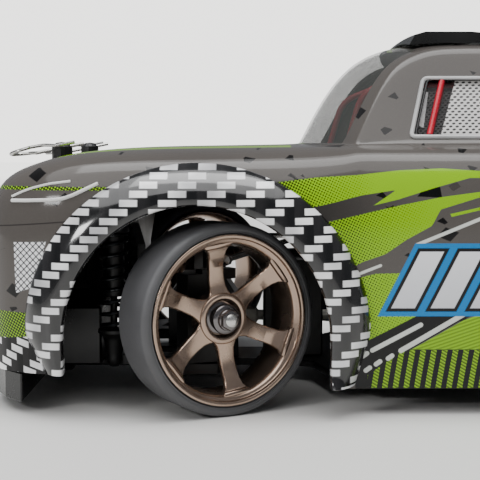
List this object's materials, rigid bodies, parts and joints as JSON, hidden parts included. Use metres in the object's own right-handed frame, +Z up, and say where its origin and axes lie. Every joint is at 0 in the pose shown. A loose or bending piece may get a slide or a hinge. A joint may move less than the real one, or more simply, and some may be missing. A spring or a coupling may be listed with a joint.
{
  "type": "radio-controlled drift car",
  "caption": "Four-wheel-drive radio-controlled drift car: flared body shell on a chassis with sprung arms, steered front wheels, motor, servo and gears.",
  "frame": {"origin": "centre of the bounding box's bottom face, on the ground between the wheels", "axes": "+X to the front of the car, +Y to its left, +Z up"},
  "size_m": [0.35, 0.1906, 0.1262],
  "materials": {
    "shell_paint": "gloss polycarbonate, warm gunmetal with lime and black graphics",
    "smoked_screen": "smoked clear polycarbonate",
    "window_net": "perforated light grey net in a white frame",
    "cage_red": "gloss red",
    "trim_black": "black moulding",
    "nylon": "black glass-filled nylon",
    "steel": "dark plated steel",
    "spring_black": "black coated spring wire",
    "tyre_rubber": "slick, matt",
    "rim_bronze": "satin champagne bronze plating",
    "motor_can": "plated can",
    "battery_wrap": "heat-shrink wrap",
    "gear_plastic": "natural acetal"
  },
  "bodies": {
    "chassis": {"body_shell": "shell_paint", "windscreen": "smoked_screen", "rear_window": "smoked_screen", "left_window_net": "window_net", "right_window_net": "window_net", "roll_cage": "cage_red", "roof_rail": "trim_black", "front_bumper": "trim_black", "rear_diffuser": "trim_black", "chassis_plate": "nylon", "front_shock_tower": "nylon", "rear_shock_tower": "nylon", "front_gearbox": "nylon", "rear_gearbox": "nylon", "motor": "motor_can", "motor_mount": "nylon", "battery_pack": "battery_wrap", "speed_controller": "nylon", "steering_servo": "nylon", "front_left_clip": "steel", "front_left_shock_body": "nylon", "front_left_spring": "spring_black", "front_right_clip": "steel", "front_right_shock_body": "nylon", "front_right_spring": "spring_black", "rear_left_clip": "steel", "rear_left_shock_body": "nylon", "rear_left_spring": "spring_black", "rear_right_clip": "steel", "rear_right_shock_body": "nylon", "rear_right_spring": "spring_black"},
    "centre_shaft": {"centre_shaft": "gear_plastic"},
    "pinion": {"pinion_gear": "steel"},
    "servo_horn": {"servo_horn": "nylon"},
    "front_left_arm": {"front_left_lower_arm": "nylon"},
    "front_left_upright": {"front_left_knuckle": "nylon"},
    "front_left_rod": {"front_left_track_rod": "steel"},
    "front_left_wheel": {"front_left_rim": "rim_bronze", "front_left_tyre": "tyre_rubber", "front_left_axle": "steel"},
    "front_left_shock_rod": {"front_left_shock_rod": "steel"},
    "front_right_arm": {"front_right_lower_arm": "nylon"},
    "front_right_upright": {"front_right_knuckle": "nylon"},
    "front_right_rod": {"front_right_track_rod": "steel"},
    "front_right_wheel": {"front_right_rim": "rim_bronze", "front_right_tyre": "tyre_rubber", "front_right_axle": "steel"},
    "front_right_shock_rod": {"front_right_shock_rod": "steel"},
    "rear_left_arm": {"rear_left_lower_arm": "nylon", "rear_left_hub_carrier": "nylon"},
    "rear_left_wheel": {"rear_left_rim": "rim_bronze", "rear_left_tyre": "tyre_rubber", "rear_left_axle": "steel"},
    "rear_left_shock_rod": {"rear_left_shock_rod": "steel"},
    "rear_right_arm": {"rear_right_lower_arm": "nylon", "rear_right_hub_carrier": "nylon"},
    "rear_right_wheel": {"rear_right_rim": "rim_bronze", "rear_right_tyre": "tyre_rubber", "rear_right_axle": "steel"},
    "rear_right_shock_rod": {"rear_right_shock_rod": "steel"}
  },
  "joints": [
    {"name": "front_left_suspension", "type": "hinge", "parent": "chassis", "child": "front_left_arm", "pos_m": [0.1025, 0.02, 0.012], "axis": [1, 0, 0], "range_deg": [-5, 4], "stiffness_Nm_per_rad": 9, "springref_deg": -1.15},
    {"name": "front_left_steering", "type": "hinge", "parent": "front_left_arm", "child": "front_left_upright", "pos_m": [0.1025, 0.061, 0.031], "axis": [0, 0, 1], "range_deg": [-59.5, 2]},
    {"name": "front_left_rod_pivot", "type": "hinge", "parent": "front_left_upright", "child": "front_left_rod", "pos_m": [0.09374, 0.05617, 0.0481], "axis": [0, 0, 1], "range_deg": [-3, 60.5]},
    {"name": "front_left_wheel_spin", "type": "hinge", "parent": "front_left_upright", "child": "front_left_wheel", "pos_m": [0.1025, 0.061, 0.031], "axis": [-0.4833, 0.8755, 0], "continuous": true},
    {"name": "front_left_shock_slide", "type": "slide", "parent": "chassis", "child": "front_left_shock_rod", "axis": [0, 0, 1], "range_m": [-0.0019, 0.0016], "deforming": ["front_left_spring"]},
    {"name": "front_right_suspension", "type": "hinge", "parent": "chassis", "child": "front_right_arm", "pos_m": [0.1025, -0.02, 0.012], "axis": [-1, 0, 0], "range_deg": [-5, 4], "stiffness_Nm_per_rad": 9, "springref_deg": -1.15},
    {"name": "front_right_steering", "type": "hinge", "parent": "front_right_arm", "child": "front_right_upright", "pos_m": [0.1025, -0.061, 0.031], "axis": [0, 0, 1], "range_deg": [-60, 2.5]},
    {"name": "front_right_rod_pivot", "type": "hinge", "parent": "front_right_upright", "child": "front_right_rod", "pos_m": [0.09374, -0.06583, 0.0481], "axis": [0, 0, 1], "range_deg": [-3, 60.5]},
    {"name": "front_right_wheel_spin", "type": "hinge", "parent": "front_right_upright", "child": "front_right_wheel", "pos_m": [0.1025, -0.061, 0.031], "axis": [-0.4833, 0.8755, 0], "continuous": true},
    {"name": "front_right_shock_slide", "type": "slide", "parent": "chassis", "child": "front_right_shock_rod", "axis": [0, 0, 1], "range_m": [-0.0019, 0.0016], "deforming": ["front_right_spring"]},
    {"name": "rear_left_suspension", "type": "hinge", "parent": "chassis", "child": "rear_left_arm", "pos_m": [-0.1025, 0.02, 0.012], "axis": [1, 0, 0], "range_deg": [-5, 4], "stiffness_Nm_per_rad": 9, "springref_deg": -1.15},
    {"name": "rear_left_wheel_spin", "type": "hinge", "parent": "rear_left_arm", "child": "rear_left_wheel", "pos_m": [-0.1025, 0.061, 0.031], "axis": [0, 1, 0], "continuous": true},
    {"name": "rear_left_shock_slide", "type": "slide", "parent": "chassis", "child": "rear_left_shock_rod", "axis": [0, 0, 1], "range_m": [-0.0019, 0.0016], "deforming": ["rear_left_spring"]},
    {"name": "rear_right_suspension", "type": "hinge", "parent": "chassis", "child": "rear_right_arm", "pos_m": [-0.1025, -0.02, 0.012], "axis": [-1, 0, 0], "range_deg": [-5, 4], "stiffness_Nm_per_rad": 9, "springref_deg": -1.15},
    {"name": "rear_right_wheel_spin", "type": "hinge", "parent": "rear_right_arm", "child": "rear_right_wheel", "pos_m": [-0.1025, -0.061, 0.031], "axis": [0, 1, 0], "continuous": true},
    {"name": "rear_right_shock_slide", "type": "slide", "parent": "chassis", "child": "rear_right_shock_rod", "axis": [0, 0, 1], "range_m": [-0.0019, 0.0016], "deforming": ["rear_right_spring"]},
    {"name": "servo_horn_turn", "type": "hinge", "parent": "chassis", "child": "servo_horn", "pos_m": [0.074, 0, 0.0465], "axis": [0, 0, 1], "range_deg": [-60, 2.5]},
    {"name": "centre_shaft_spin", "type": "hinge", "parent": "chassis", "child": "centre_shaft", "pos_m": [0, 0, 0.022], "axis": [1, 0, 0], "continuous": true},
    {"name": "motor_spin", "type": "hinge", "parent": "chassis", "child": "pinion", "pos_m": [-0.061, 0.01549, 0.029], "axis": [1, 0, 0], "continuous": true}
  ],
  "couplings": [
    {"joint": "front_left_rod_pivot", "follows": "front_left_steering", "ratio": -1},
    {"joint": "front_left_shock_slide", "follows": "front_left_suspension", "m_per_rad": 0.02},
    {"joint": "front_right_rod_pivot", "follows": "front_left_steering", "ratio": -1},
    {"joint": "front_right_shock_slide", "follows": "front_right_suspension", "m_per_rad": 0.02},
    {"joint": "rear_left_shock_slide", "follows": "rear_left_suspension", "m_per_rad": 0.02},
    {"joint": "rear_right_shock_slide", "follows": "rear_right_suspension", "m_per_rad": 0.02},
    {"joint": "front_right_steering", "follows": "front_left_steering", "ratio": 1},
    {"joint": "servo_horn_turn", "follows": "front_left_steering", "ratio": 1},
    {"joint": "motor_spin", "follows": "centre_shaft_spin", "ratio": -3}
  ]
}
